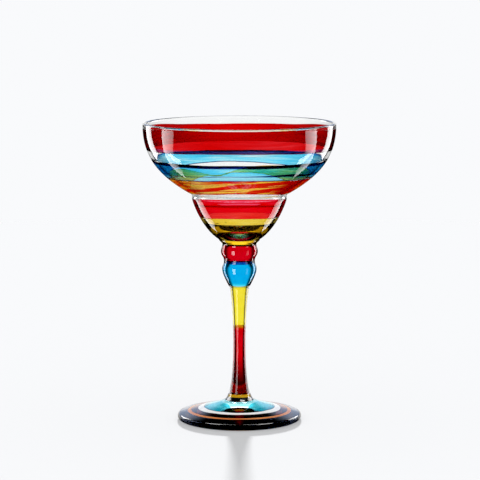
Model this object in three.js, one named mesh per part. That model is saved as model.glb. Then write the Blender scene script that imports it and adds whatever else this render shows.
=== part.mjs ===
// Hand-painted cocktail glass: a blown bowl with a smaller cup under it, two ball knops, a drawn stem and a
// domed foot, joined hot end to end, with thin rings of coloured lacquer on the outside.
// Millimetres, +Z up. The origin is the middle of the ring that the foot stands on.
import * as THREE from 'three';

// Heights of the glass pieces, stacked up from the table
const FOOT_HEIGHT = 12;
const STEM_LENGTH = 71.5;
const LOWER_KNOP_HEIGHT = 16.8;
const UPPER_KNOP_HEIGHT = 10.7;
const CUP_HEIGHT = 31.4;
const BOWL_HEIGHT = 44.6;

// Outer radii
const RIM_RADIUS = 60;
const COLLAR_RADIUS = 29.5;
const CUP_END_RADIUS = 12.8;
const NECK_RADIUS = 10.5;
const UPPER_KNOP_RADIUS = 11.5;
const PINCH_RADIUS = 9.5;
const LOWER_KNOP_RADIUS = 10.6;
const STEM_TOP_RADIUS = 6;
const STEM_WAIST_RADIUS = 3.9;
const STEM_BASE_RADIUS = 9;
const FOOT_RADIUS = 38.8;

// Bowl and cup: wall, collar below the shoulder, solid base, and the fillet above the neck
const WALL = 2.3;
const COLLAR_HEIGHT = 2.6;
const CUP_BASE_THICKNESS = 6.5;
const NECK_FILLET_HEIGHT = 3.2;

// Where each knop is widest, measured down from its top, and the stem's waist, measured up from its base
const UPPER_KNOP_DROP = 4.4;
const LOWER_KNOP_DROP = 4.8;
const STEM_WAIST_HEIGHT = 36;

// Foot: edge, ring that it stands on, and the shallow hollow inside that ring
const FOOT_EDGE_THICKNESS = 4;
const FOOT_EDGE_ROUND = 1.8;
const REST_RING_WIDTH = 6;
const FOOT_HOLLOW = 1.5;

// Handles of the outline's curves: how far each end keeps its direction
const BOWL_SIDE_PULL = 20.2;
const BOWL_FLOOR_REACH = 20.8;
const BOWL_FLOOR_RISE = 11.75;
const CUP_SIDE_PULL = 0.8;
const CUP_FLOOR_REACH = 11.4;
const CUP_FLOOR_RISE = 7.4;
const CUP_INSIDE_PULL = 7;
const CUP_INSIDE_REACH = 18;
const NECK_FILLET_PULL = 1.2;
const KNOP_ROUND_PULL = 2.2;
const KNOP_TAPER_REACH = 4;
const KNOP_TAPER_RISE = 7.6;
const STEM_TOP_REACH = 1.3;
const STEM_TOP_DROP = 7.3;
const STEM_WAIST_PULL = 15;
const STEM_FLARE_REACH = 3.9;
const STEM_FLARE_RISE = 2.4;
const FOOT_FLARE_REACH = 3.2;
const FOOT_FLARE_DROP = 2;
const FOOT_SLOPE_REACH = 14;
const FOOT_SLOPE_RISE = 3.4;

// Painted bands on the bowl and the cup, heights from the top down
const RIM_CLEAR = 3.4;
const BOWL_RED = 12.4;
const BOWL_CLEAR = 6.6;
const BOWL_BLUE = 9.4;
const SHOULDER_CLEAR = 2.4;
const CUP_RED = 10.4;

// Painted lengths of the stem, heights from the top down and, for the flare, from the base up
const STEM_YELLOW = 24;
const STEM_RING = 2.4;
const FLARE_CLEAR = 2.2;

// Painted rings of the foot, widths from the edge inwards, and where the innermost one begins
const FOOT_SMOKE = 5.2;
const FOOT_ORANGE = 1.8;
const FOOT_MAROON = 4.7;
const FOOT_WHITE = 4.3;
const FOOT_TURQUOISE_START = 11;

// Lacquer
const COAT = 0.12;

// How finely the round forms are cut into flats
const SEGMENTS = 32;
const FINE_STEPS = 120;
const LIP_STEPS = 4;
const INSIDE_STEPS = 8;
const HOLLOW_STEPS = 3;

// Levels of the joints between the glass pieces
const STEM_BASE_Z = FOOT_HEIGHT;
const STEM_TOP_Z = STEM_BASE_Z + STEM_LENGTH;
const PINCH_Z = STEM_TOP_Z + LOWER_KNOP_HEIGHT;
const NECK_Z = PINCH_Z + UPPER_KNOP_HEIGHT;
const SHOULDER_Z = NECK_Z + CUP_HEIGHT;
const RIM_Z = SHOULDER_Z + BOWL_HEIGHT;

// Levels and radii worked out from the sizes above
const LIP_RADIUS = WALL / 2;
const COLLAR_END_Z = SHOULDER_Z - COLLAR_HEIGHT;
const CUP_END_Z = NECK_Z + NECK_FILLET_HEIGHT;
const UPPER_KNOP_Z = NECK_Z - UPPER_KNOP_DROP;
const LOWER_KNOP_Z = PINCH_Z - LOWER_KNOP_DROP;
const WAIST_Z = STEM_BASE_Z + STEM_WAIST_HEIGHT;
const FOOT_TOP_RADIUS = FOOT_RADIUS - FOOT_EDGE_ROUND;
const REST_RING_INNER = FOOT_TOP_RADIUS - REST_RING_WIDTH;

const at = (radius, height) => new THREE.Vector2(radius, height);

// Outline of the outside of the glass, from under the lip down to the ring that the foot stands on
function outsidePath() {
  const path = new THREE.Path();
  const bend = (handle, nextHandle, end) =>
    path.bezierCurveTo(handle.x, handle.y, nextHandle.x, nextHandle.y, end.x, end.y);

  // A swell or waist between two radii, upright at both ends
  const swell = (fromRadius, fromZ, toRadius, toZ) => {
    const pull = (fromZ - toZ) / 2;
    bend(at(fromRadius, fromZ - pull), at(toRadius, toZ + pull), at(toRadius, toZ));
  };

  path.moveTo(RIM_RADIUS, RIM_Z - LIP_RADIUS);
  bend(
    at(RIM_RADIUS, RIM_Z - LIP_RADIUS - BOWL_SIDE_PULL),
    at(COLLAR_RADIUS + BOWL_FLOOR_REACH, SHOULDER_Z + BOWL_FLOOR_RISE),
    at(COLLAR_RADIUS, SHOULDER_Z),
  );
  path.lineTo(COLLAR_RADIUS, COLLAR_END_Z);
  bend(
    at(COLLAR_RADIUS, COLLAR_END_Z - CUP_SIDE_PULL),
    at(CUP_END_RADIUS + CUP_FLOOR_REACH, CUP_END_Z + CUP_FLOOR_RISE),
    at(CUP_END_RADIUS, CUP_END_Z),
  );
  bend(
    at(NECK_RADIUS, CUP_END_Z - NECK_FILLET_PULL),
    at(NECK_RADIUS, NECK_Z + NECK_FILLET_PULL),
    at(NECK_RADIUS, NECK_Z),
  );
  swell(NECK_RADIUS, NECK_Z, UPPER_KNOP_RADIUS, UPPER_KNOP_Z);
  swell(UPPER_KNOP_RADIUS, UPPER_KNOP_Z, PINCH_RADIUS, PINCH_Z);
  swell(PINCH_RADIUS, PINCH_Z, LOWER_KNOP_RADIUS, LOWER_KNOP_Z);
  bend(
    at(LOWER_KNOP_RADIUS, LOWER_KNOP_Z - KNOP_ROUND_PULL),
    at(STEM_TOP_RADIUS + KNOP_TAPER_REACH, STEM_TOP_Z + KNOP_TAPER_RISE),
    at(STEM_TOP_RADIUS, STEM_TOP_Z),
  );
  bend(
    at(STEM_TOP_RADIUS - STEM_TOP_REACH, STEM_TOP_Z - STEM_TOP_DROP),
    at(STEM_WAIST_RADIUS, WAIST_Z + STEM_WAIST_PULL),
    at(STEM_WAIST_RADIUS, WAIST_Z),
  );
  bend(
    at(STEM_WAIST_RADIUS, WAIST_Z - STEM_WAIST_PULL),
    at(STEM_BASE_RADIUS - STEM_FLARE_REACH, STEM_BASE_Z + STEM_FLARE_RISE),
    at(STEM_BASE_RADIUS, STEM_BASE_Z),
  );
  bend(
    at(STEM_BASE_RADIUS + FOOT_FLARE_REACH, STEM_BASE_Z - FOOT_FLARE_DROP),
    at(FOOT_TOP_RADIUS - FOOT_SLOPE_REACH, FOOT_EDGE_THICKNESS + FOOT_SLOPE_RISE),
    at(FOOT_TOP_RADIUS, FOOT_EDGE_THICKNESS),
  );
  const halfEdge = FOOT_EDGE_THICKNESS / 2;
  path.absellipse(FOOT_TOP_RADIUS, halfEdge, FOOT_EDGE_ROUND, halfEdge, Math.PI / 2, -Math.PI / 2, true);
  return path;
}

const finePoints = outsidePath().getPoints(FINE_STEPS);

// Place along the fine outline, as a point number with a fraction, where a height or a radius is crossed
function placeWhere(isPast, amountOf, target) {
  const after = finePoints.findIndex(isPast);
  const before = finePoints[after - 1];
  const step = amountOf(finePoints[after]) - amountOf(before);
  return after - 1 + (target - amountOf(before)) / step;
}

const placeAtHeight = (height) => placeWhere((p) => p.y <= height, (p) => p.y, height);

const placeAtFootRadius = (radius) =>
  placeWhere((p) => p.y < STEM_BASE_Z && p.x >= radius, (p) => p.x, radius);

function pointAtPlace(place) {
  const index = Math.min(Math.floor(place), finePoints.length - 2);
  return finePoints[index].clone().lerp(finePoints[index + 1], place - index);
}

const topOfOrange = RIM_Z - RIM_CLEAR - BOWL_RED - BOWL_CLEAR - BOWL_BLUE;
const insideOfSmoke = FOOT_TOP_RADIUS - FOOT_SMOKE;
const insideOfOrange = insideOfSmoke - FOOT_ORANGE;
const insideOfMaroon = insideOfOrange - FOOT_MAROON;

// The outline from the rim down, in stretches: the glass piece, its coat if it has one, its end and its flats
const STRETCHES = [
  { piece: 'bowl', end: placeAtHeight(RIM_Z - RIM_CLEAR), flats: 1 },
  { piece: 'bowl', coat: 'red_bowl_band', end: placeAtHeight(RIM_Z - RIM_CLEAR - BOWL_RED), flats: 3 },
  { piece: 'bowl', end: placeAtHeight(topOfOrange + BOWL_BLUE), flats: 2 },
  { piece: 'bowl', coat: 'blue_bowl_band', end: placeAtHeight(topOfOrange), flats: 3 },
  { piece: 'bowl', coat: 'orange_bowl_band', end: placeAtHeight(SHOULDER_Z + SHOULDER_CLEAR), flats: 3 },
  { piece: 'bowl', end: placeAtHeight(SHOULDER_Z), flats: 1 },
  { piece: 'bowl', end: placeAtHeight(COLLAR_END_Z), flats: 1 },
  { piece: 'bowl', coat: 'red_cup_band', end: placeAtHeight(COLLAR_END_Z - CUP_RED), flats: 3 },
  { piece: 'bowl', coat: 'amber_cup_band', end: placeAtHeight(NECK_Z), flats: 5 },
  { piece: 'upper_knop', coat: 'red_knop_coat', end: placeAtHeight(PINCH_Z), flats: 5 },
  { piece: 'lower_knop', coat: 'blue_knop_coat', end: placeAtHeight(STEM_TOP_Z), flats: 6 },
  { piece: 'stem', coat: 'yellow_stem_coat', end: placeAtHeight(STEM_TOP_Z - STEM_YELLOW), flats: 3 },
  { piece: 'stem', coat: 'red_stem_coat', end: placeAtHeight(STEM_BASE_Z + FLARE_CLEAR + STEM_RING), flats: 4 },
  { piece: 'stem', coat: 'yellow_stem_ring', end: placeAtHeight(STEM_BASE_Z + FLARE_CLEAR), flats: 1 },
  { piece: 'stem', end: placeAtHeight(STEM_BASE_Z), flats: 2 },
  { piece: 'foot', end: placeAtFootRadius(FOOT_TURQUOISE_START), flats: 1 },
  { piece: 'foot', coat: 'turquoise_foot_ring', end: placeAtFootRadius(insideOfMaroon - FOOT_WHITE), flats: 2 },
  { piece: 'foot', coat: 'white_foot_ring', end: placeAtFootRadius(insideOfMaroon), flats: 1 },
  { piece: 'foot', coat: 'maroon_foot_ring', end: placeAtFootRadius(insideOfOrange), flats: 1 },
  { piece: 'foot', coat: 'orange_foot_ring', end: placeAtFootRadius(insideOfSmoke), flats: 1 },
  { piece: 'foot', coat: 'smoke_foot_ring', end: placeAtFootRadius(FOOT_TOP_RADIUS), flats: 1 },
  { piece: 'foot', end: finePoints.length - 1, flats: 4 },
];

// Corner points of the faceted outline, and for each stretch the numbers of its first and last corner
const corners = [pointAtPlace(0)];
let startPlace = 0;
for (const stretch of STRETCHES) {
  stretch.first = corners.length - 1;
  for (let flat = 1; flat <= stretch.flats; flat += 1) {
    corners.push(pointAtPlace(THREE.MathUtils.lerp(startPlace, stretch.end, flat / stretch.flats)));
  }
  stretch.last = corners.length - 1;
  startPlace = stretch.end;
}

// Unit direction out of the glass at a corner: square to the line between the corners on either side
function outwardAt(number) {
  const above = corners[Math.max(number - 1, 0)];
  const below = corners[Math.min(number + 1, corners.length - 1)];
  const along = below.clone().sub(above);
  return at(-along.y, along.x).normalize();
}

const offsetCorner = (number, distance) => corners[number].clone().addScaledVector(outwardAt(number), distance);

function numbersBetween(first, last) {
  return Array.from({ length: last - first + 1 }, (_, step) => first + step);
}

// Corners of one glass piece, from its lower end up
function outsideOf(piece) {
  const own = STRETCHES.filter((stretch) => stretch.piece === piece);
  const numbers = numbersBetween(own[0].first, own[own.length - 1].last);
  return numbers.map((number) => corners[number]).reverse();
}

// A profile turned about +Z. It runs anticlockwise: out along the bottom, up the outside and back inside.
function turned(profile) {
  const geometry = new THREE.LatheGeometry(profile, SEGMENTS);
  geometry.rotateX(Math.PI / 2);
  return geometry;
}

// A solid glass piece between two flat joint faces
function solidPiece(piece) {
  const outside = outsideOf(piece);
  const bottom = at(0, outside[0].y);
  const top = at(0, outside[outside.length - 1].y);
  return turned([bottom, ...outside, top]);
}

// The bowl and cup: the outside, a round lip, the inside one wall away, and the rounded bottom of the cup
function bowlPiece() {
  const lip = [];
  for (let step = 1; step < LIP_STEPS; step += 1) {
    const angle = (Math.PI * step) / LIP_STEPS;
    const turn = at(Math.cos(angle), Math.sin(angle));
    lip.push(at(RIM_RADIUS - LIP_RADIUS, RIM_Z - LIP_RADIUS).addScaledVector(turn, LIP_RADIUS));
  }

  const collarEnd = STRETCHES.find((stretch) => stretch.coat === 'red_cup_band').first;
  const wallInside = numbersBetween(0, collarEnd).map((number) => offsetCorner(number, -WALL));
  const cupTop = wallInside[wallInside.length - 1];
  const floorZ = NECK_Z + CUP_BASE_THICKNESS;
  const cupInside = new THREE.CubicBezierCurve(
    cupTop,
    at(cupTop.x, cupTop.y - CUP_INSIDE_PULL),
    at(CUP_INSIDE_REACH, floorZ),
    at(0, floorZ),
  ).getPoints(INSIDE_STEPS);

  return turned([at(0, NECK_Z), ...outsideOf('bowl'), ...lip, ...wallInside, ...cupInside.slice(1)]);
}

// The foot: the shallow hollow underneath, the flat ring that it stands on, the edge and the sloping top
function footPiece() {
  const hollow = new THREE.QuadraticBezierCurve(
    at(0, FOOT_HOLLOW),
    at(REST_RING_INNER / 2, FOOT_HOLLOW),
    at(REST_RING_INNER, 0),
  ).getPoints(HOLLOW_STEPS);
  return turned([...hollow, ...outsideOf('foot'), at(0, STEM_BASE_Z)]);
}

// A coat of lacquer: a thin ring whose inner faces lie on the glass
function coatRing(stretch) {
  const numbers = numbersBetween(stretch.first, stretch.last);
  const onGlass = numbers.map((number) => corners[number]);
  const proud = numbers.map((number) => offsetCorner(number, COAT)).reverse();
  return turned([...onGlass, ...proud, onGlass[0]]);
}

const GLASS_COLOUR = '#e9f0f2';
const COAT_COLOURS = {
  red_bowl_band: '#c8080f',
  blue_bowl_band: '#3aa6ea',
  orange_bowl_band: '#ee8a1c',
  red_cup_band: '#e0101c',
  amber_cup_band: '#d9a521',
  red_knop_coat: '#cc0a1e',
  blue_knop_coat: '#0a9fe0',
  yellow_stem_coat: '#eacb2e',
  red_stem_coat: '#cf0a18',
  yellow_stem_ring: '#e3b62a',
  turquoise_foot_ring: '#35a9b4',
  white_foot_ring: '#f0f1f0',
  maroon_foot_ring: '#5a1418',
  orange_foot_ring: '#d97a2a',
  smoke_foot_ring: '#59628c',
};

function glassMesh(name, geometry) {
  const material = new THREE.MeshStandardMaterial({
    color: GLASS_COLOUR,
    roughness: 0.03,
    metalness: 0,
    transparent: true,
    opacity: 0.35,
  });
  const mesh = new THREE.Mesh(geometry, material);
  mesh.name = name;
  return mesh;
}

function coatMesh(stretch) {
  const material = new THREE.MeshStandardMaterial({
    color: COAT_COLOURS[stretch.coat],
    roughness: 0.12,
    metalness: 0,
    transparent: true,
    opacity: 0.8,
  });
  const mesh = new THREE.Mesh(coatRing(stretch), material);
  mesh.name = stretch.coat;
  return mesh;
}

const glass = new THREE.Group();
glass.add(glassMesh('bowl', bowlPiece()));
glass.add(glassMesh('upper_knop', solidPiece('upper_knop')));
glass.add(glassMesh('lower_knop', solidPiece('lower_knop')));
glass.add(glassMesh('stem', solidPiece('stem')));
glass.add(glassMesh('foot', footPiece()));

const paintwork = new THREE.Group();
for (const stretch of STRETCHES.filter((item) => item.coat)) {
  paintwork.add(coatMesh(stretch));
}

const cocktailGlass = new THREE.Group();
cocktailGlass.add(glass, paintwork);

export default cocktailGlass;
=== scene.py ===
"""Hand painted cocktail glass: clear glass turned from one outline, with brushed lacquer rings outside."""

import math
from collections import namedtuple

import bpy
import numpy as np
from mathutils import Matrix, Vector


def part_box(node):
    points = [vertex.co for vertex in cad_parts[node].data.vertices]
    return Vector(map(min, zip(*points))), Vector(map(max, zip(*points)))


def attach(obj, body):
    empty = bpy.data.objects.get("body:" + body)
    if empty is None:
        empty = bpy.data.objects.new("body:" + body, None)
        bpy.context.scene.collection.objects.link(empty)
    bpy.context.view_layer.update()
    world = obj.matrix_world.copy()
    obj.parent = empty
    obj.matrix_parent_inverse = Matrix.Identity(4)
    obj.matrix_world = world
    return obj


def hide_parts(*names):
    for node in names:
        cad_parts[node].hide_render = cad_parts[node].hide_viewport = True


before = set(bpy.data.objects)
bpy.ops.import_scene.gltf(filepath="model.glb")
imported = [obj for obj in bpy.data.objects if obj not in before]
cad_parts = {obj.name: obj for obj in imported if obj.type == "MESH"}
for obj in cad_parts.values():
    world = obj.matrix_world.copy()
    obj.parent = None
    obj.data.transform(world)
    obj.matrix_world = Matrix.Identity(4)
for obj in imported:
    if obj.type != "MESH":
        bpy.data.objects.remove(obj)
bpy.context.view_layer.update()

bl_info = {
    "name": "Painted Cocktail Glass",
    "version": (1, 0, 0),
    "blender": (4, 5, 0),
    "location": "View3D > Sidebar > Glass",
    "description": "Builds a stemmed cocktail glass with brushed lacquer rings, and a plain stage for it",
    "category": "Add Mesh",
}

MM = 0.001
BODY = "root"

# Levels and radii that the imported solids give
RIM_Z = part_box("bowl")[1][2]
NECK_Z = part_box("bowl")[0][2]
PINCH_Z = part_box("upper_knop")[0][2]
STEM_TOP_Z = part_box("stem")[1][2]
STEM_BASE_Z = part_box("stem")[0][2]
RIM_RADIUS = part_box("bowl")[1][0]
UPPER_KNOP_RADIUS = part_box("upper_knop")[1][0]
LOWER_KNOP_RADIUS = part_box("lower_knop")[1][0]
STEM_BASE_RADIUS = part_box("stem")[1][0]
FOOT_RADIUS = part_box("foot")[1][0]

# How far the outline's curves reach from their ends, as (radius, height)
BOWL_SIDE = (0, -20.2 * MM)
BOWL_FLOOR = (20.8 * MM, 11.75 * MM)
CUP_SIDE = (0, -0.8 * MM)
CUP_FLOOR = (11.4 * MM, 7.4 * MM)
CUP_INSIDE_SIDE = (-4.6 * MM, -4.4 * MM)
CUP_INSIDE_FLOOR = (9 * MM, 0)
NECK_FILLET = (0, 1.2 * MM)
KNOP_ROUND = (0, -2.2 * MM)
KNOP_TAPER = (4 * MM, 7.6 * MM)
STEM_TOP = (-1.3 * MM, -7.3 * MM)
STEM_WAIST = (0, 15 * MM)
STEM_FLARE = (-3.9 * MM, 2.4 * MM)
FOOT_FLARE = (3.2 * MM, -2 * MM)
FOOT_SLOPE = (-14 * MM, 3.4 * MM)

# Reach of the round at the stem's top, in coats, and the part of the foot's edge that its corner rounds
STEM_ROUND_COATS = 8
FOOT_CORNER_PART = 5

# How far a stretch of second paint takes to fade, the share of its thickness that a coat loses at its edges,
# and a level of second paint that no stroke reaches
BLEND_FADE = 0.4 * MM
EDGE_DROP = 0.6
NO_STROKES = 2.0

# Heights of the brush's ridges in lacquer and of the waves in glass
RIDGE_HEIGHT = 0.004 * MM
WAVE_HEIGHT = 0.02 * MM

# Gain of the brush's strokes, the least share of a coat that they leave, how softly strokes of second paint
# end, their distortion, and the slants between which light is lost in a coat
STROKE_GAIN = 3
LEAST_COAT = 0.2
STROKE_SOFTNESS = 0.03
STROKE_DISTORTION = 0.35
SLANT_LOSS = (0.35, 0.8)

# Refraction of glass and lacquer, the tints between which clear glass varies, and the scale of its waves
GLASS_IOR = 1.5
GLASS_TINTS = ((0.97, 0.985, 0.98, 1), (0.99, 0.995, 0.995, 1))
WAVE_SCALE = 60

# Roughness and shine of opaque lacquer
OPAQUE_ROUGHNESS = 0.1
OPAQUE_SHINE = 0.2

# Slope and cut of the share that counts as near the front
FRONT_SLOPE = 2
FRONT_CUT = 0.4

# Share of light that passes the seam of bowl and upper knop
NECK_TINT = (0.3, 0.2, 0.08)

# Mesh steps, the shortest stretch of wall that gets rows, and lengths that count as none
ROUND_STEPS = 256
CURVE_STEPS = 160
COLLAR_POINTS = 30
CORNER_POINTS = 14
EDGE_POINTS = 40
HOLLOW_ROWS = 25
ROW_LENGTH = 1.5 * MM
ROW_BEND = math.radians(4.5)
LIP_ROWS = 10
BAND_ROWS = 40
SHORTEST = 1e-6
SAME_POINT = 1e-7
ON_AXIS = 1e-9
ANGLE = np.arange(ROUND_STEPS) * 2 * math.pi / ROUND_STEPS

# Material slots of a glass piece
OPEN, BONDED, NECK_JOINT = range(3)

# Turns from the back at which the white panel fades and ends, and how bright rays through the glass see that
# panel, the zone beside it, the dark room, the lit room and the lit floor
PANEL_START = math.radians(11)
PANEL_END = math.radians(15)
PANEL_LIGHT = 0.82
BESIDE_LIGHT = 0.14
DARK_LIGHT = 0.04
ROOM_LIGHT = 0.86
FLOOR_LIGHT = 0.98

# How far the floor lies under the foot, and distances from the axis between which its lane starts, its glow
# under the foot, which is painted light, ends and its painted shadow under the stem ends. The lane's opening
# is a slope and a start
FLOOR_DROP = 0.2 * MM
LANE_REACH = (0.05, 0.2)
FOOT_GLOW_REACH = (0.06, 0.045)
STEM_PAINTED_SHADOW_REACH = (0.006, 0.012)
LANE_OPENING = (0.9, 0.52)

# Limits in degrees of the zone beside the panel, of the dim ceiling, of the foot, top and sides of the glow
# that reflections see, and of its tint, then the ceiling's loss and the glow's light
BESIDE_TURNS = (40, 32)
CEILING_RISES = (25, 40)
GLOW_FOOT = (-3.5, -1)
GLOW_TOP = (33, 22)
GLOW_SIDES = (60, 35)
TINT_RISES = (4, 14)
CEILING_LOSS = 0.7
GLOW_LIGHT = 1.25

# How far the strip boxes stand, and the rows and the least columns of a box
STRIP_DISTANCE = 1.5
BOX_ROWS = 13
BOX_COLUMNS = 9

# Turn to which the panels behind the bowl, the cup and the stem reach
PANEL_TURN = 40

# Pieces that show the light boxes
BOWL = ("bowl_glass", "red_bowl_band_lacquer", "blue_bowl_band_lacquer", "orange_bowl_band_lacquer")
AMBER = ("amber_cup_band_lacquer",)
CUP = ("red_cup_band_lacquer",) + AMBER
KNOPS = ("red_knop_coat_lacquer", "blue_knop_coat_lacquer")
STEM = ("yellow_stem_coat_lacquer", "red_stem_coat_lacquer")
THIN_RING = ("yellow_stem_ring_lacquer",)
FOOT = ("foot_glass",)
FLARE = ("stem_glass",) + FOOT + THIN_RING
EDGE = ("smoke_foot_ring_lacquer",)
CLEAR_RINGS = ("turquoise_foot_ring_lacquer", "maroon_foot_ring_lacquer")
FOOT_COATS = CLEAR_RINGS + EDGE + ("white_foot_ring_lacquer", "orange_foot_ring_lacquer")

# Boxes that stand on both sides: name, turns from the back and rises in degrees, glows at the two turns in
# units of the strip glow, pieces, and sweep and fade of the lower end
PAIRED_BOXES = (
    ("strip", (78, 98), (-46, 3), (1, 0.4), BOWL, 36, 0.45),
    ("back_strip", (36, 52), (-20, 40), (0.6, 0.6), BOWL, 0, 1),
    ("cup_strip", (46, 72), (-45, 5), (0.6, 0.3), CUP, 0, 1),
    ("knop_strip", (50, 63), (-35, 25), (0.6, 0.6), KNOPS, 0, 1),
    ("stem_strip", (15, 85), (-35, 25), (1 / 3, 0.4), STEM, 0, 1),
    ("flare_strip", (42, 85), (8, 40), (1, 1), FLARE, 0, 1),
    ("edge_strip", (20, 48), (14, 33), (0.8, 0.8), EDGE, 0, 1),
)

# Single boxes: name, turns, rises, glow in units of the strip glow, and pieces
SINGLE_BOXES = (
    ("edge_top", (-75, 75), (55, 80), 1, EDGE),
    ("ring_top", (-40, 40), (54.5, 60), 1.8, FOOT),
    ("window_left", (-131, -152), (-32, 14), 0.8, KNOPS),
    ("stem_window", (-132, -156), (-32, 14), 0.4, STEM),
    ("flare_window", (110, 170), (48, 68), 1.6, FLARE),
    ("flare_top", (-50, 50), (60, 80), 1.8, FLARE),
    ("window_right", (118, 134), (-32, 14), 0.15, KNOPS),
)

Outline = namedtuple("Outline", "run radius height out_radius out_height rows")


def number(name, description, default, **limits):
    """A property that holds one number."""
    return bpy.props.FloatProperty(name=name, description=description, default=default, **limits)


def length(name, description, default):
    """A property that holds one length in metres."""
    return number(name, description, default, min=0, precision=5, unit="LENGTH")


def angle(name, description, degrees):
    """A property that holds one angle, given in degrees."""
    return number(name, description, math.radians(degrees), subtype="ANGLE")


def paint(name, description, default):
    """A property that holds the linear share of red, green and blue light that one coat lets through."""
    return bpy.props.FloatVectorProperty(name=name, description=description, default=default, size=3, min=0,
                                         max=1, subtype="COLOR")


class GlassSizes(bpy.types.PropertyGroup):
    """Sizes of the clear glass."""

    rim_radius: length("Rim radius", "Outside of the lip", RIM_RADIUS)
    wall: length("Wall", "Thickness of the bowl's wall", 2.3 * MM)
    collar_radius: length("Collar radius", "Outside of the step between bowl and cup", 29.5 * MM)
    collar_height: length("Collar height", "Height of the upright step between bowl and cup", 2.6 * MM)
    shoulder_drop: length("Bowl height", "From the lip down to the shoulder", 44.6 * MM)
    shoulder_round: length("Shoulder round", "Reach of the round in the corner over the collar", 1.1 * MM)
    cup_wall: length("Cup wall", "Height over the neck at which the wall starts to thicken", 13.5 * MM)
    cup_base: length("Cup base", "Solid glass under the cup", 6.5 * MM)
    cup_end_radius: length("Cup end radius", "Where the cup meets the neck's round", 12.8 * MM)
    neck_round: length("Neck round", "Height of the round over the neck", 3.2 * MM)
    neck_radius: length("Neck radius", "Joint of bowl and upper knop", 10.5 * MM)
    upper_knop_radius: length("Upper knop radius", "Widest part of the upper knop", UPPER_KNOP_RADIUS)
    upper_knop_drop: length("Upper knop drop", "From the neck to the widest part", 4.4 * MM)
    pinch_radius: length("Pinch radius", "Joint of the two knops", 9.5 * MM)
    lower_knop_radius: length("Lower knop radius", "Widest part of the lower knop", LOWER_KNOP_RADIUS)
    lower_knop_drop: length("Lower knop drop", "From the pinch to the widest part", 4.8 * MM)
    stem_top_radius: length("Stem top radius", "Joint of lower knop and stem", 6 * MM)
    stem_waist_radius: length("Stem waist radius", "Slimmest part of the stem", 3.9 * MM)
    stem_waist_height: length("Stem waist height", "Slimmest part, over the foot joint", 36 * MM)
    stem_base_radius: length("Stem base radius", "Joint of stem and foot", STEM_BASE_RADIUS)
    foot_radius: length("Foot radius", "Outside of the foot", FOOT_RADIUS)
    foot_edge: length("Foot edge", "Thickness of the foot's rounded edge", 4 * MM)
    foot_edge_round: length("Foot edge round", "How far the edge bulges", 1.8 * MM)
    rest_ring: length("Rest ring", "Width of the flat ring that the foot stands on", 6 * MM)
    foot_hollow: length("Foot hollow", "Depth of the hollow inside that ring", 1.5 * MM)
    coat: length("Coat", "Thickness of a lacquer coat", 0.12 * MM)


class PaintColours(bpy.types.PropertyGroup):
    """Light that passes one coat of each lacquer."""

    bowl_red: paint("Bowl red", "Wide band under the rim", (0.78, 0.004, 0.006))
    bowl_plum: paint("Bowl plum", "Thin lower edge of the red band", (0.34, 0.03, 0.12))
    bowl_blue: paint("Bowl blue", "Band at the middle of the bowl", (0.2, 0.76, 0.985))
    # At the left and right of the blue band this navy is painted shade.
    bowl_navy_and_side_shade: paint("Bowl navy", "Edges, line and sides of the blue band", (0.01, 0.05, 0.27))
    bowl_orange: paint("Bowl orange", "Band at the bottom of the bowl", (0.99, 0.61, 0.1))
    # Besides its strokes, this rust at the left and right of the orange band is painted shade.
    bowl_rust_and_side_shade: paint("Bowl rust", "Dark strokes in the orange band", (0.82, 0.015, 0.001))
    cup_red: paint("Cup red", "Upper band of the cup", (0.94, 0.03, 0.08))
    cup_crimson: paint("Cup crimson", "Thin upper part of the cup's red", (0.96, 0.07, 0.15))
    cup_amber: paint("Cup amber", "Lower band of the cup", (0.98, 0.83, 0.26))
    # The umber strokes are paint. The umber stretch low at the back of the amber band is painted shade.
    cup_umber_and_painted_shade: paint("Cup umber", "Dark stretch and strokes in the amber", (0.04, 0.03, 0.008))
    knop_red: paint("Knop red", "Coat of the upper knop", (0.81, 0.005, 0.08))
    knop_blue: paint("Knop blue", "Coat of the lower knop", (0.035, 0.67, 0.95))
    knop_shade: paint("Knop shade", "Pooled edges of the red knop", (0.2, 0.002, 0.01))
    knop_navy: paint("Knop navy", "Pooled top of the blue knop", (0.01, 0.12, 0.42))
    stem_yellow: paint("Stem yellow", "Top of the stem", (0.98, 0.9, 0.2))
    stem_red: paint("Stem red", "Lower part of the stem", (0.8, 0.004, 0.06))
    # This black, laid over the clear flare under the gold ring, is painted shade where clear glass looks dark.
    stem_black_painted_shade: paint("Stem black", "Dark lower edge of the thin ring", (0.008, 0.01, 0.012))
    stem_gold: paint("Stem gold", "Thin ring at the stem's bottom", (0.93, 0.52, 0.02))
    stem_amber: paint("Stem amber", "Overlap of the stem's yellow and red", (0.8, 0.42, 0.03))
    foot_turquoise: paint("Foot turquoise", "Inner ring of the foot", (0.32, 0.8, 0.87))
    foot_white: paint("Foot white", "Opaque ring of the foot", (0.97, 0.97, 0.96))
    foot_maroon: paint("Foot maroon", "Dark ring of the foot", (0.3, 0.035, 0.035))
    foot_orange: paint("Foot orange", "Thin opaque ring of the foot", (0.72, 0.25, 0.07))
    foot_smoke: paint("Foot smoke", "Outer ring and edge of the foot", (0.2, 0.23, 0.32))


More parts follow.
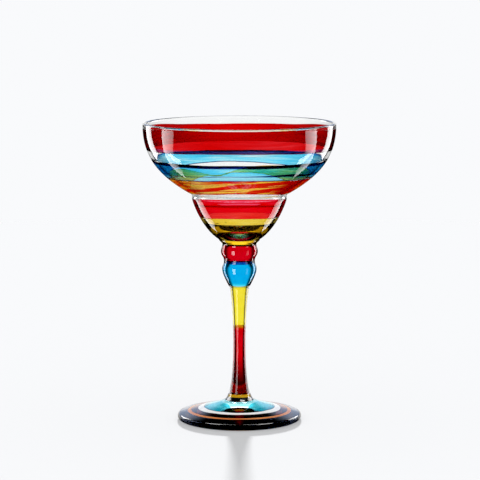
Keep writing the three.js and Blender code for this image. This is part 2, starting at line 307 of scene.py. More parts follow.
class StageSettings(bpy.types.PropertyGroup):
    """Camera, floor and light."""

    camera_distance: length("Camera distance", "From the axis, along the floor", 1318.44 * MM)
    camera_height: length("Camera height", "Over the floor", 286.47 * MM)
    camera_aside: length("Camera aside", "To the right of the axis", 0.38 * MM)
    camera_pitch: angle("Camera pitch", "Downward tilt", 7.478)
    camera_lens: number("Lens", "Focal length in millimetres", 159.58)
    camera_sensor: number("Sensor", "Width of the sensor in millimetres", 36)
    floor_radius: length("Floor radius", "Outside of the round floor", 1.05)
    lane_start: angle("Lane start", "Turn from the back at which the bright lane fades", 22)
    lane_end: angle("Lane end", "Turn from the back at which the bright lane ends", 36)
    room_start: angle("Room start", "Turn from the back at which the room lights up", 37)
    room_end: angle("Room end", "Turn from the back past which the room is bright", 46)
    backdrop: paint("Backdrop", "Floor and background", (0.947, 0.956, 0.973))
    glow_tint: paint("Glow tint", "Glow at the back that reflections show", (0.6, 0.73, 1))
    strip_glow: number("Strip glow", "Brightness of the strip boxes", 9)
    sun_share: number("Lamp share", "Share of the floor's light from the lamp", 0.38, min=0, max=1)
    sky_share: number("Room share", "Share of the floor's light from the white room", 0.25, min=0, max=1)
    sun_height: angle("Lamp height", "Angle of the lamp over the floor", 16)
    sun_spread: angle("Lamp spread", "Angle that the lamp takes up", 4.5)


def cubic(start, leave, arrive, end):
    """Cubic Bezier curve as (radius, height) points: start and end, each also with its reach added, are its
    four corners."""
    t = np.linspace(0, 1, CURVE_STEPS + 1)[:, None]
    start = np.array(start)
    end = np.array(end)
    first = start + leave
    second = end + arrive
    return (1 - t) ** 3 * start + 3 * (1 - t) ** 2 * t * first + 3 * (1 - t) * t ** 2 * second + t ** 3 * end


def swell(start, end):
    """Curve that leaves and arrives upright, each reach half of the height between the ends."""
    half = (start[1] - end[1]) / 2
    return cubic(start, (0, -half), (0, half), end)


def running_length(points):
    """Length along a line of points, from its first point."""
    return np.concatenate([[0], np.cumsum(np.linalg.norm(np.diff(points, axis=0), axis=1))])


def rounded(first, second, reach):
    """Joins two lines at their shared corner by a quadratic Bezier that starts and ends one reach from it."""
    corner = second[0]
    kept_first = first[running_length(first[::-1])[::-1] > reach]
    kept_second = second[running_length(second) > reach]
    t = np.linspace(0, 1, CORNER_POINTS)[:, None]
    bend = (1 - t) ** 2 * kept_first[-1] + 2 * (1 - t) * t * corner + t ** 2 * kept_second[0]
    return np.vstack([kept_first, bend[1:-1], kept_second])


def measured(points):
    """An Outline: running length, radius and height of the points, the unit normal on their left hand side,
    and the number of mesh rows up to each point, which grows with the length and with the bend."""
    points = points[np.concatenate([[True], np.linalg.norm(np.diff(points, axis=0), axis=1) > SAME_POINT])]
    run = running_length(points)
    along = np.gradient(points, run, axis=0)
    along /= np.linalg.norm(along, axis=1)[:, None]
    bend = np.abs(np.diff(np.unwrap(np.arctan2(along[:, 1], along[:, 0]))))
    rows = np.concatenate([[0], np.cumsum(np.diff(run) / ROW_LENGTH + bend / ROW_BEND)])
    return Outline(run, points[:, 0], points[:, 1], -along[:, 1], along[:, 0], rows)


def glass_outline():
    """Outside of the glass from under the lip to the edge of the foot, as cubic curves between its widest and
    narrowest places, and an elliptic arc at the edge of the foot."""
    size = bpy.context.scene.glass_sizes
    shoulder = (size.collar_radius, RIM_Z - size.shoulder_drop)
    cup_top = (size.collar_radius, shoulder[1] - size.collar_height)
    cup_end = (size.cup_end_radius, NECK_Z + size.neck_round)
    neck = (size.neck_radius, NECK_Z)
    upper_knop = (size.upper_knop_radius, NECK_Z - size.upper_knop_drop)
    pinch = (size.pinch_radius, PINCH_Z)
    lower_knop = (size.lower_knop_radius, PINCH_Z - size.lower_knop_drop)
    stem_top = (size.stem_top_radius, STEM_TOP_Z)
    waist = (size.stem_waist_radius, STEM_BASE_Z + size.stem_waist_height)
    stem_base = (size.stem_base_radius, STEM_BASE_Z)
    edge_top = (size.foot_radius - size.foot_edge_round, size.foot_edge)
    turn = np.linspace(math.pi / 2, -math.pi / 2, EDGE_POINTS)
    half = size.foot_edge / 2
    edge = np.stack([edge_top[0] + size.foot_edge_round * np.cos(turn), half + half * np.sin(turn)], axis=1)
    bowl = cubic((size.rim_radius, RIM_Z - size.wall / 2), BOWL_SIDE, BOWL_FLOOR, shoulder)
    taper = cubic(lower_knop, KNOP_ROUND, KNOP_TAPER, stem_top)
    stem = cubic(stem_top, STEM_TOP, STEM_WAIST, waist)
    foot = cubic(stem_base, FOOT_FLARE, FOOT_SLOPE, edge_top)
    return measured(np.vstack([
        rounded(bowl, np.linspace(shoulder, cup_top, COLLAR_POINTS), size.shoulder_round),
        cubic(cup_top, CUP_SIDE, CUP_FLOOR, cup_end),
        cubic(cup_end, (0, -NECK_FILLET[1]), NECK_FILLET, neck),
        swell(neck, upper_knop),
        swell(upper_knop, pinch),
        swell(pinch, lower_knop),
        rounded(taper, stem, size.coat * STEM_ROUND_COATS),
        cubic(waist, (0, -STEM_WAIST[1]), STEM_FLARE, stem_base),
        rounded(foot, edge, size.foot_edge / FOOT_CORNER_PART),
    ]))


def inner_outline(outer):
    """Inside of the bowl from the lip down to the axis: the outside moved in by the wall as far as the middle
    of the cup, then one cubic to the axis."""
    size = bpy.context.scene.glass_sizes
    above = outer.height > NECK_Z + size.cup_wall
    radius = outer.radius - size.wall * outer.out_radius
    height = outer.height - size.wall * outer.out_height
    wall = np.stack([radius, height], axis=1)[above]
    floor = cubic(wall[-1], CUP_INSIDE_SIDE, CUP_INSIDE_FLOOR, (0, NECK_Z + size.cup_base))
    return measured(np.vstack([wall, floor[1:]]))


def run_at_height(outer, height):
    """Running length on the outline where it crosses a height. The outline falls all the way, so there is
    one."""
    return np.interp(-height, -outer.height, outer.run)


def run_at_foot_radius(outer, radius):
    """Running length on the foot's top where it crosses a radius. The foot widens all the way, so there is
    one."""
    on_foot = outer.height < STEM_BASE_Z
    widening = np.maximum.accumulate(outer.radius[on_foot])
    return np.interp(radius, widening, outer.run[on_foot])


def level_edge(run):
    """The same running length all around."""
    return np.full(ROUND_STEPS, float(run))


def hand_edge(level, front=0.0, right=0.0, ends=0.0, ripple=0.0, turn=0.0):
    """Edge of a brushed ring around the axis: a level, a tilt towards the front and the right, a saddle that
    lifts front and back together, and a small ripple of the hand, all but the level in millimetres."""
    shake = sum(size * np.sin(waves * ANGLE + pace * turn)
                for size, waves, pace in ((1, 5, 1), (0.7, 9, 2.3), (0.5, 14, 4.1)))
    tilt = front * np.cos(ANGLE) + right * np.sin(ANGLE)
    return level + (tilt + ends * np.cos(2 * ANGLE) + ripple * shake) * MM


def bell(turn, width):
    """A bell around the axis: one at a turn from the front, in degrees, and about a third at the width from
    it."""
    away = (np.degrees(ANGLE) - turn + 180) % 360 - 180
    return np.exp(-(away / width) ** 2)


def dab(size, turn, width):
    """A bump in an edge where the brush strayed: a bell of the size in millimetres."""
    return size * MM * bell(turn, width)


def on_outline(line, run, lift=0.0):
    """Radius and height at running lengths on an outline, moved out along its normal by a lift."""
    radius = np.interp(run, line.run, line.radius) + lift * np.interp(run, line.run, line.out_radius)
    height = np.interp(run, line.run, line.height) + lift * np.interp(run, line.run, line.out_height)
    return np.stack([radius, height])


def strip(line, first, last):
    """Rows of a surface of revolution between two edges of an outline, closer together where it bends."""
    first_row = np.interp(first, line.run, line.rows)
    span = np.interp(last, line.run, line.rows) - first_row
    rows = max(2, int(math.ceil(float(np.max(span)))))
    run = np.interp(first_row + span * np.linspace(0, 1, rows + 1)[:, None], line.rows, line.run)
    run[0] = first
    run[-1] = last
    return on_outline(line, run)


def axis_row(height):
    """A row of points that lie on the axis."""
    return np.stack([np.zeros((1, ROUND_STEPS)), np.full((1, ROUND_STEPS), height)])


def turned_mesh(name, surface, closed, face_slots, materials, values=None):
    """Mesh of a surface of revolution, from the radius and height of every row and step: the point is the
    radius times (sin, -cos) of the step's angle, at the height. A row of radius nought is one point on the
    axis. A closed loop of rows ends where it starts."""
    radius, height = surface
    pole = radius.max(axis=1) < ON_AXIS
    counts = np.where(pole, 1, ROUND_STEPS)
    starts = np.concatenate([[0], np.cumsum(counts)])
    index = starts[:-1, None] + np.where(pole[:, None], 0, np.arange(ROUND_STEPS)[None, :])
    grid = np.stack([radius * np.sin(ANGLE), -radius * np.cos(ANGLE), height], axis=-1)
    keep = np.ones(radius.shape, bool)
    keep[pole, 1:] = False
    points = grid[keep]
    below = index if closed else index[:-1]
    above = np.roll(index, -1, axis=0) if closed else index[1:]
    corners = np.stack([below, np.roll(below, -1, axis=1), np.roll(above, -1, axis=1), above], axis=-1)
    corners = corners.reshape(-1, 4)
    used = np.ones(corners.shape, bool)
    for corner in (0, 2):
        used[:, corner] = corners[:, corner] != corners[:, corner + 1]
    sizes = used.sum(axis=1)
    mesh = bpy.data.meshes.new(name)
    mesh.vertices.add(len(points))
    mesh.vertices.foreach_set("co", points.astype(np.float32).ravel())
    mesh.loops.add(int(sizes.sum()))
    mesh.loops.foreach_set("vertex_index", corners[used].astype(np.int32))
    mesh.polygons.add(len(corners))
    mesh.polygons.foreach_set("loop_start", np.concatenate([[0], np.cumsum(sizes)[:-1]]).astype(np.int32))
    mesh.polygons.foreach_set("material_index", np.repeat(face_slots, ROUND_STEPS).astype(np.int32))
    mesh.update(calc_edges=True)
    mesh.shade_smooth()
    for key, value in (values or {}).items():
        layer = mesh.attributes.new(key, "FLOAT", "POINT")
        layer.data.foreach_set("value", value[keep].astype(np.float32))
    mesh.validate()
    piece = bpy.data.objects.new(name, mesh)
    for material in materials:
        mesh.materials.append(material)
    bpy.context.scene.collection.objects.link(piece)
    return piece


def dress(piece, node):
    """Sets a finished piece in the frame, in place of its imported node."""
    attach(piece, BODY)
    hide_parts(node)


def add_node(tree, kind, inputs=None, **settings):
    """Adds a shader node and sets its properties, then its inputs by name or number: a socket is linked, and
    any other value is set."""
    node = tree.nodes.new(kind)
    for key, value in settings.items():
        setattr(node, key, value)
    for key, value in (inputs or {}).items():
        if isinstance(value, bpy.types.NodeSocket):
            tree.links.new(value, node.inputs[key])
        else:
            node.inputs[key].default_value = value
    return node


def math_node(tree, operation, *values):
    """Math node whose inputs are sockets or numbers. Returns its result."""
    return add_node(tree, "ShaderNodeMath", dict(enumerate(values)), operation=operation).outputs[0]


def product(tree, result, *others):
    """Product of sockets and numbers, from the first to the last."""
    for value in others:
        result = math_node(tree, "MULTIPLY", result, value)
    return result


def smooth_range(tree, value, low, high):
    """Eases from nought at low to one at high. Returns the share."""
    inputs = {"Value": value, "From Min": low, "From Max": high}
    return add_node(tree, "ShaderNodeMapRange", inputs, interpolation_type="SMOOTHSTEP").outputs[0]


def smooth_turn(tree, value, low, high):
    """The same for an angle, with its limits in degrees."""
    return smooth_range(tree, value, math.radians(low), math.radians(high))


def mixed(tree, kind, share, first, second):
    """Mix of two values of a kind. Returns its result."""
    inputs = {"Factor": share, "A": first, "B": second}
    return add_node(tree, "ShaderNodeMix", inputs, data_type=kind).outputs["Result"]


def attribute(tree, name):
    """Value of a mesh's own attribute."""
    return add_node(tree, "ShaderNodeAttribute", attribute_name=name).outputs["Fac"]


def place_in(tree, kind="Object"):
    """Coordinates of a kind, whole and split into X, Y and Z."""
    place = add_node(tree, "ShaderNodeTexCoord").outputs[kind]
    return place, add_node(tree, "ShaderNodeSeparateXYZ", {0: place}).outputs


def brushed_lacquer():
    """Node group of brushed lacquer. Noise that is long around the axis and short along the outline makes
    strokes. The face lets through half of the coat's tint and its body the other half. Face is the paint's
    light share to the power of the load, because the glass shader takes its root, and Body is that root."""
    name = "Brushed lacquer"
    if name in bpy.data.node_groups:
        return bpy.data.node_groups[name]
    tree = bpy.data.node_groups.new(name, "ShaderNodeTree")
    sockets = (("Paint", "INPUT", "Color"), ("Second Paint", "INPUT", "Color"), ("Strokes", "INPUT", "Float"),
               ("Second Level", "INPUT", "Float"), ("Seed", "INPUT", "Float"), ("Face", "OUTPUT", "Color"),
               ("Body", "OUTPUT", "Color"), ("Height", "OUTPUT", "Float"))
    for socket, way, kind in sockets:
        tree.interface.new_socket(socket, in_out=way, socket_type="NodeSocket" + kind)
    given = add_node(tree, "NodeGroupInput").outputs
    place = add_node(tree, "ShaderNodeTexCoord").outputs["Object"]
    flat = add_node(tree, "ShaderNodeVectorMath", {0: place, 1: (1, 1, 0)}, operation="MULTIPLY").outputs[0]
    around = add_node(tree, "ShaderNodeVectorMath", {0: flat}, operation="NORMALIZE").outputs[0]
    split = add_node(tree, "ShaderNodeSeparateXYZ", {0: around}).outputs
    along = attribute(tree, "along")

    def strokes(round_scale, along_scale, shift, detail):
        """Noise on the direction from the axis and the way along the outline, each with its own scale."""
        seed = math_node(tree, "ADD", given["Seed"], shift)
        join = add_node(tree, "ShaderNodeCombineXYZ", {
            "X": math_node(tree, "MULTIPLY_ADD", split["X"], round_scale, seed),
            "Y": product(tree, split["Y"], round_scale),
            "Z": math_node(tree, "MULTIPLY_ADD", along, along_scale, seed)})
        noise = {"Vector": join.outputs[0], "Scale": 1, "Detail": detail, "Distortion": STROKE_DISTORTION}
        return add_node(tree, "ShaderNodeTexNoise", noise).outputs["Fac"]

    fine = strokes(2.2, 900, 0, 3)
    wide = strokes(1.5, 260, 7.3, 2)
    other = strokes(1.7, 420, 19.1, 2)
    ridge = math_node(tree, "SUBTRACT", math_node(tree, "ADD", fine, wide), 1)
    unevenness = product(tree, ridge, STROKE_GAIN, given["Strokes"])
    amount = math_node(tree, "MAXIMUM", math_node(tree, "ADD", unevenness, 1), LEAST_COAT)
    power = product(tree, amount, attribute(tree, "load"))
    low, high = (math_node(tree, way, given["Second Level"], STROKE_SOFTNESS) for way in ("SUBTRACT", "ADD"))
    second = math_node(tree, "ADD", smooth_range(tree, other, low, high), attribute(tree, "blend"))
    colour = mixed(tree, "RGBA", second, given["Paint"], given["Second Paint"])
    face, body = (add_node(tree, "ShaderNodeGamma", {"Color": colour, "Gamma": gamma}).outputs[0]
                  for gamma in (power, product(tree, power, 0.5)))
    add_node(tree, "NodeGroupOutput", {"Face": face, "Body": body, "Height": ridge})
    return tree


def brushed(tree, first, second, strokes, second_level, seed):
    """The lacquer's node group in a material. Returns its outputs."""
    inputs = {"Paint": (*first, 1), "Second Paint": (*second, 1), "Strokes": strokes,
              "Second Level": second_level, "Seed": seed}
    return add_node(tree, "ShaderNodeGroup", inputs, node_tree=brushed_lacquer()).outputs


def new_material(name):
    """Empty node material. Returns it with its tree."""
    material = bpy.data.materials.new(name)
    material.use_nodes = True
    material.node_tree.nodes.clear()
    return material, material.node_tree


def show(tree, shader, owner="Material"):
    """Makes a shader node the surface of its owner."""
    add_node(tree, "ShaderNodeOutput" + owner, {"Surface": shader.outputs[0]})


def glass_shader(tree, colour, height, distance, clear=1.0):
    """Smooth glass with a bump of the height in units of the distance. Light passes the clear share of it."""
    bump = add_node(tree, "ShaderNodeBump", {"Strength": 1, "Distance": distance, "Height": height})
    return add_node(tree, "ShaderNodeBsdfPrincipled", {
        "Base Color": colour, "Normal": bump.outputs[0], "Roughness": 0, "IOR": GLASS_IOR,
        "Transmission Weight": clear})


def lacquer(name, first, second=None, strokes=0.3, second_level=NO_STROKES, seed=0.0, rim=0.95, clear=1.0):
    """Transparent gloss lacquer in one or two paints, as the material of a coat's face and that of its body.
    Light that slants through the face has a longer way in the coat, so up to the rim share of it is lost.
    clear is the share of the face that light passes, where the rest is opaque."""
    brush = (first, second or first, strokes, second_level, seed)
    face, tree = new_material(name + " face")
    group = brushed(tree, *brush)
    slant = add_node(tree, "ShaderNodeLayerWeight", {"Blend": 0.5}).outputs["Facing"]
    lost = product(tree, smooth_range(tree, slant, *SLANT_LOSS), rim)
    tint = {0: group["Face"], "Scale": math_node(tree, "SUBTRACT", 1, lost)}
    colour = add_node(tree, "ShaderNodeVectorMath", tint, operation="SCALE").outputs[0]
    show(tree, glass_shader(tree, colour, group["Height"], RIDGE_HEIGHT, clear))
    body, tree = new_material(name + " body")
    show(tree, add_node(tree, "ShaderNodeBsdfTransparent", {"Color": brushed(tree, *brush)["Body"]}))
    return [face, body]


def opaque_lacquer(name, colour, seed):
    """Opaque gloss lacquer, a little uneven from the brush, and the bond under it."""
    face, tree = new_material(name)
    group = brushed(tree, colour, colour, 0.3, NO_STROKES, seed)
    show(tree, add_node(tree, "ShaderNodeBsdfPrincipled", {
        "Base Color": group["Face"], "Roughness": OPAQUE_ROUGHNESS, "Specular IOR Level": OPAQUE_SHINE}))
    return [face, bond()]


def clear_glass():
    """Clear glass with the faint waves of hand work."""
    name = "Clear glass"
    if name in bpy.data.materials:
        return bpy.data.materials[name]
    material, tree = new_material(name)
    place = add_node(tree, "ShaderNodeTexCoord").outputs["Object"]
    inputs = {"Vector": place, "Scale": WAVE_SCALE, "Detail": 1}
    waves = add_node(tree, "ShaderNodeTexNoise", inputs).outputs["Fac"]
    colour = mixed(tree, "RGBA", waves, *GLASS_TINTS)
    show(tree, glass_shader(tree, colour, waves, WAVE_HEIGHT))
    return material


def bond(name="Bond", tint=(1, 1, 1)):
    """Face where glass meets glass or lacquer with nothing between, so that light passes straight on, or
    tinted."""
    if name in bpy.data.materials:
        return bpy.data.materials[name]
    material, tree = new_material(name)
    show(tree, add_node(tree, "ShaderNodeBsdfTransparent", {"Color": (*tint, 1)}))
    return material


def band_edges():
    """The outline, and the edges of every painted ring as running lengths around the axis. Levels come from
    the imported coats, and the tilts and saddles, in millimetres, are those of a brush held against the turning
    glass."""
    outer = glass_outline()

    def top(node, shift=0.0, **shape):
        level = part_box(node)[1][2] + shift * MM
        return run_at_height(outer, hand_edge(level, **shape))

    def bottom(node, shift=0.0, **shape):
        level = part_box(node)[0][2] + shift * MM
        return run_at_height(outer, hand_edge(level, **shape))

    def ring(radius, **shape):
        return run_at_foot_radius(outer, hand_edge(radius, **shape))

    red_top = top("red_bowl_band", 0.2, front=2.4, ends=0.5, ripple=0.08, turn=0.3)
    red_low = bottom("red_bowl_band", -0.6, front=0.9, ends=0.6, ripple=0.08, turn=2.0)
    blue_top = top("blue_bowl_band", 0, front=0.4, ripple=0.08, turn=0.8)
    blue_low = bottom("blue_bowl_band", -0.4, front=-0.8, right=0.2, ends=1.1, ripple=0.08, turn=1.2)
    blue_low = blue_low + dab(1.6, 150, 25)
    orange_top = blue_low + 0.05 * MM + dab(4.6, -170, 32) + dab(9, -155, 24)
    orange_low = bottom("orange_bowl_band", 0.3, front=-0.75, ends=1.6, ripple=0.1, turn=1.1)
    orange_low = orange_low - dab(3.6, 180, 60) - dab(1.4, 115, 24) - dab(1.4, -115, 24)
    cup_top = top("red_cup_band", -0.6, front=3, ends=-0.2, ripple=0.05, turn=0.6)
    red_amber = bottom("red_cup_band", -1.0, front=1.1, ends=0.3, ripple=0.05, turn=2.2)
    neck = bottom("amber_cup_band")
    pinch = bottom("red_knop_coat", 0.5, ripple=0.04, turn=0.9)
    knop_end = bottom("blue_knop_coat", 1.4)
    stem_change = bottom("yellow_stem_coat", ripple=0.05, turn=1.7)
    stem_end = bottom("red_stem_coat", -0.6, front=0.2)
    white_in = ring(21.9 * MM, ends=-0.3, ripple=0.1, turn=1)
    white_out = ring(25 * MM, ends=-1, ripple=0.1, turn=2)
    orange_in = ring(29.7 * MM, ends=-0.7, ripple=0.05, turn=3)
    orange_out = ring(31.6 * MM, ends=-1, ripple=0.05, turn=4)
    return outer, {
        "red_bowl_band": (red_top - dab(1.4, 115, 25) - dab(1.4, -115, 25), red_low),
        "blue_bowl_band": (blue_top, blue_low),
        "orange_bowl_band": (orange_top, np.maximum(orange_low, orange_top + MM)),
        "red_cup_band": (cup_top + dab(6, 180, 60), red_amber),
        "amber_cup_band": (red_amber, neck),
        "red_knop_coat": (neck, pinch),
        "blue_knop_coat": (pinch, knop_end),
        "yellow_stem_coat": (knop_end, stem_change),
        "red_stem_coat": (stem_change, stem_end),
        # The thin ring reaches 2.2 mm lower than its solid to carry its black painted shade over the flare.
        "yellow_stem_ring": (stem_end, bottom("yellow_stem_ring", -2.2, front=0.2)),
        "turquoise_foot_ring": (ring(11 * MM, ripple=0.1) + dab(9.5, 0, 24), white_in),
        "white_foot_ring": (white_in, white_out),
        "maroon_foot_ring": (white_out, orange_in),
        "orange_foot_ring": (orange_in, orange_out),
        "smoke_foot_ring": (orange_out, level_edge(outer.run[-1] - 1.2 * MM)),
    }


def outer_wall(outer, first, last, painted):
    """Outer wall of a glass piece from its lower to its upper edge, cut at the edges of its painted rings,
    which come from the top down. Gives the rows of the surface and the slot of each row of faces."""
    ends = [end for top, low in painted for end in ((top, OPEN), (low, BONDED))] + [(last, OPEN)]
    parts = [on_outline(outer, first)[:, None]]
    faces = []
    for end, slot in ends:
        if slot == BONDED or float(np.max(end - first)) > SHORTEST:
            part = strip(outer, first, end)[:, 1:]
            parts.append(part)
            faces += [slot] * part.shape[1]
            first = end
    return np.concatenate(parts, axis=1)[:, ::-1], faces[::-1]


def glass_piece(name, parts, faces):
    """Closed glass piece from rows that start and end on the axis, in clear glass and, where it is bonded, in
    none."""
    materials = [clear_glass(), bond(), bond("Neck joint", NECK_TINT)]
    piece = turned_mesh(name + "_glass", np.concatenate(parts, axis=1), False, faces, materials)
    dress(piece, name)


def coat_piece(node, materials, pools=(0.5, 0.5), widths=(0.5 * MM, 0.5 * MM), thin=None, lines=(), blends=(),
               sides=0.0, calm=0.0, front=1.0, focus=1, patches=(), slant=0.0):
    """Thin closed shell of lacquer on the outline. Rows lie closer at its edges, where the paint pools: pools
    and widths give the added load at the upper and the lower edge and how far it reaches. thin gives a
    stretch at an end, as (end, length, share, part of it at the back), in which the load falls to the share.
    lines gives pooled lines inside the coat, as (end, way from it, added load, width). blends gives stretches
    of the second paint, as (end, start, stop, share at the back). sides is the share of the second paint at
    the left and right, which is painted shade at the coat's ends, and calm takes its strokes off the back.
    front is the load at the front, where it is one at the back: over one it is painted shade on the front, and
    under one painted light. focus draws it together at the front. patches gives places where the load changes
    to a share and some second paint comes or goes, as (turn from the front, width, share, second paint). slant
    lifts the strokes to the right by a length."""
    coat = bpy.context.scene.glass_sizes.coat
    outer, edges = band_edges()
    upper, lower = edges[node]
    run = upper + (lower - upper) * (1 - np.cos(np.linspace(0, math.pi, BAND_ROWS + 1)))[:, None] / 2
    way = {"top": run - upper, "bottom": lower - run}
    facing = (1 + np.cos(ANGLE)) / 2
    near = np.clip(FRONT_SLOPE * facing - FRONT_CUT, 0, 1)
    # A load at the front over one is painted shade there, and one under one is painted light.
    load = 1 + (front - 1) * facing ** focus + np.zeros_like(run)
    # Second paint at the left and right is painted shade at the coat's ends.
    blend = sides * np.sin(ANGLE) ** 6 - calm * (1 - facing) + np.zeros_like(run)
    for turn, width, change, second in patches:
        load *= 1 + (change - 1) * bell(turn, width)
        blend += second * bell(turn, width)
    for end, pool, width in zip(way, pools, widths):
        load += pool * np.exp(-(way[end] / width) ** 2)
    for end, place, pool, width in lines:
        load += pool * np.exp(-((way[end] - place) / width) ** 2) * near
    if thin:
        end, reach, least, back = thin
        lost = (1 - least) * (1 - np.clip(way[end] / reach, 0, 1) ** 2)
        load *= 1 - lost * (back + (1 - back) * near)
    for end, start, stop, back in blends:
        amount = back + (1 - back) * near
        amount = amount * np.clip((way[end] - start) / BLEND_FADE + 1, 0, 1)
        amount = amount * np.clip((stop - way[end]) / BLEND_FADE, 0, 1)
        blend = np.where(amount > 0, np.maximum(blend, amount), blend)
    lift = coat * (1 - EDGE_DROP * np.exp(-np.minimum(way["top"], way["bottom"]) / coat))
    surface = np.concatenate([on_outline(outer, run, lift)[:, ::-1], on_outline(outer, run)], axis=1)
    faces = [0] * (BAND_ROWS + 1) + [1] * BAND_ROWS + [0]
    values = {"along": way["top"] + slant * np.sin(ANGLE), "load": load, "blend": blend}
    values = {key: np.vstack([value[::-1], value]) for key, value in values.items()}
    colour, place, _ = node.split("_")
    piece = turned_mesh(node + "_lacquer", surface, True, faces, materials, values)
    dress(piece, node)


class GLASS_OT_bowl(bpy.types.Operator):
    """Make the bowl: outer wall, round lip, inner wall, and a flat joint at the neck"""

    bl_idname = "glass.make_bowl"
    bl_label = "Bowl"

    def execute(self, context):
        size = context.scene.glass_sizes
        outer, edges = band_edges()
        inner = inner_outline(outer)
        names = ("red_bowl_band", "blue_bowl_band", "orange_bowl_band", "red_cup_band", "amber_cup_band")
        neck = level_edge(run_at_height(outer, NECK_Z))
        wall, wall_faces = outer_wall(outer, level_edge(0), neck, [edges[name] for name in names])
        turn = np.linspace(0, math.pi, LIP_ROWS + 1)[1:-1, None] + np.zeros(ROUND_STEPS)
        half = size.wall / 2
        lip = np.stack([size.rim_radius - half + half * np.cos(turn), RIM_Z - half + half * np.sin(turn)])
        inside = strip(inner, level_edge(0), level_edge(inner.run[-1]))
        inside[0, -1] = 0
        faces = [NECK_JOINT] + wall_faces + [OPEN] * (LIP_ROWS + inside.shape[1] - 1)
        glass_piece("bowl", [axis_row(NECK_Z), wall, lip, inside], faces)
        return {"FINISHED"}


class GLASS_OT_knops_and_stem(bpy.types.Operator):
    """Make the two knops and the stem, solid glass with flat joints at both ends"""

    bl_idname = "glass.make_knops_and_stem"
    bl_label = "Knops and Stem"

    def execute(self, context):
        outer, edges = band_edges()
        pieces = (
            ("upper_knop", NECK_Z, PINCH_Z, ("red_knop_coat", "blue_knop_coat")),
            ("lower_knop", PINCH_Z, STEM_TOP_Z, ("red_knop_coat", "blue_knop_coat", "yellow_stem_coat")),
            ("stem", STEM_TOP_Z, STEM_BASE_Z, ("yellow_stem_coat", "red_stem_coat", "yellow_stem_ring")),
        )
        for name, top_z, low_z, coats in pieces:
            top, low = (level_edge(run_at_height(outer, level)) for level in (top_z, low_z))
            painted = [np.clip(edges[coat], top, low) for coat in coats]
            painted = [(first, last) for first, last in painted if float(np.max(last - first)) > SHORTEST]
            wall, faces = outer_wall(outer, top, low, painted)
            glass_piece(name, [axis_row(low_z), wall, axis_row(top_z)], [BONDED] + faces + [BONDED])
        return {"FINISHED"}


class GLASS_OT_foot(bpy.types.Operator):
    """Make the foot: domed top, round edge, a flat ring to stand on and a shallow hollow inside it"""

    bl_idname = "glass.make_foot"
    bl_label = "Foot"

    def execute(self, context):
        size = context.scene.glass_sizes
        outer, edges = band_edges()
        top = level_edge(run_at_height(outer, STEM_BASE_Z))
        colours = ("turquoise", "white", "maroon", "orange", "smoke")
        rings = [edges[colour + "_foot_ring"] for colour in colours]
        wall, wall_faces = outer_wall(outer, top, level_edge(outer.run[-1]), rings)
        ring_radius = size.foot_radius - size.foot_edge_round - size.rest_ring
        share = np.linspace(0, 1, HOLLOW_ROWS)[:, None] + np.zeros(ROUND_STEPS)
        under = np.stack([ring_radius * share, size.foot_hollow * (1 - share ** 2)])
        faces = [OPEN] * HOLLOW_ROWS + wall_faces + [BONDED]
        glass_piece("foot", [under, wall, axis_row(STEM_BASE_Z)], faces)
        return {"FINISHED"}


class GLASS_OT_bowl_bands(bpy.types.Operator):
    """Brush the three bands of the bowl and the two of the cup"""

    bl_idname = "glass.paint_bowl"
    bl_label = "Bowl and Cup Bands"

    def execute(self, context):
        colours = context.scene.glass_paints
        red = lacquer("Bowl red lacquer", colours.bowl_red, colours.bowl_plum, 0.35, seed=3)
        coat_piece("red_bowl_band", red, front=0.92, blends=(("bottom", 0, 2.4 * MM, 0),),
                   patches=((-128, 28, 3.2, 0), (128, 28, 3.2, 0), (180, 50, 1.3, 0)))
        blue = lacquer("Bowl blue lacquer", colours.bowl_blue, colours.bowl_navy_and_side_shade, 0.7, seed=11, rim=0.25)
        # The navy that sides and the patches at 88 degrees either way lay at the band's ends is painted shade.
        coat_piece("blue_bowl_band", blue, (3, 1), (1.4 * MM, 0.5 * MM), sides=0.3, front=2.1,
                   thin=("bottom", 4 * MM + dab(8, -14, 32), 0.22, 0),
                   patches=((-42, 18, 1.15, 0), (46, 14, 1.3, 0.1), (-88, 16, 0.5, 0.1),
                            (88, 16, 0.65, 0.15)),
                   blends=(("top", 0, 2.6 * MM, 0), ("bottom", 0, 0.9 * MM, 0.9),
                           ("bottom", 3.9 * MM, 4.6 * MM + dab(1.5, 38, 18), 0)))
        tilt = 7 * MM * np.sin(ANGLE)
        orange = lacquer("Bowl orange lacquer", colours.bowl_orange, colours.bowl_rust_and_side_shade, 0.4, 0.52, 23, 0.1)
        # The rust that sides lays at the band's ends is painted shade.
        coat_piece("orange_bowl_band", orange, (0.3, 1), sides=0.3, calm=1.4, front=1.2, slant=2.2 * MM,
                   patches=((180, 80, 0.5, 0), (-32, 14, 0.7, -0.4), (50, 15, 2.2, 1.2)),
                   blends=(("bottom", 7.5 * MM + tilt + dab(60, 180, 65), 11.5 * MM + tilt, 0),
                           ("bottom", dab(60, 180, 65), 0.8 * MM, 0)))
        red = lacquer("Cup red lacquer", colours.cup_red, colours.cup_crimson, 0.25, seed=5)
        coat_piece("red_cup_band", red, (3, 0), lines=(("top", 4.4 * MM, 18, 0.5 * MM),),
                   blends=(("top", 0, 4.2 * MM, 0),))
        amber = lacquer("Cup amber lacquer", colours.cup_amber, colours.cup_umber_and_painted_shade, 0.35, 0.72, 31)
        # The umber stretch in the lowest 9 mm at the back is painted shade.
        coat_piece("amber_cup_band", amber, (0, 0.3), blends=(("bottom", dab(40, 0, 80), 9 * MM, 1),))
        return {"FINISHED"}


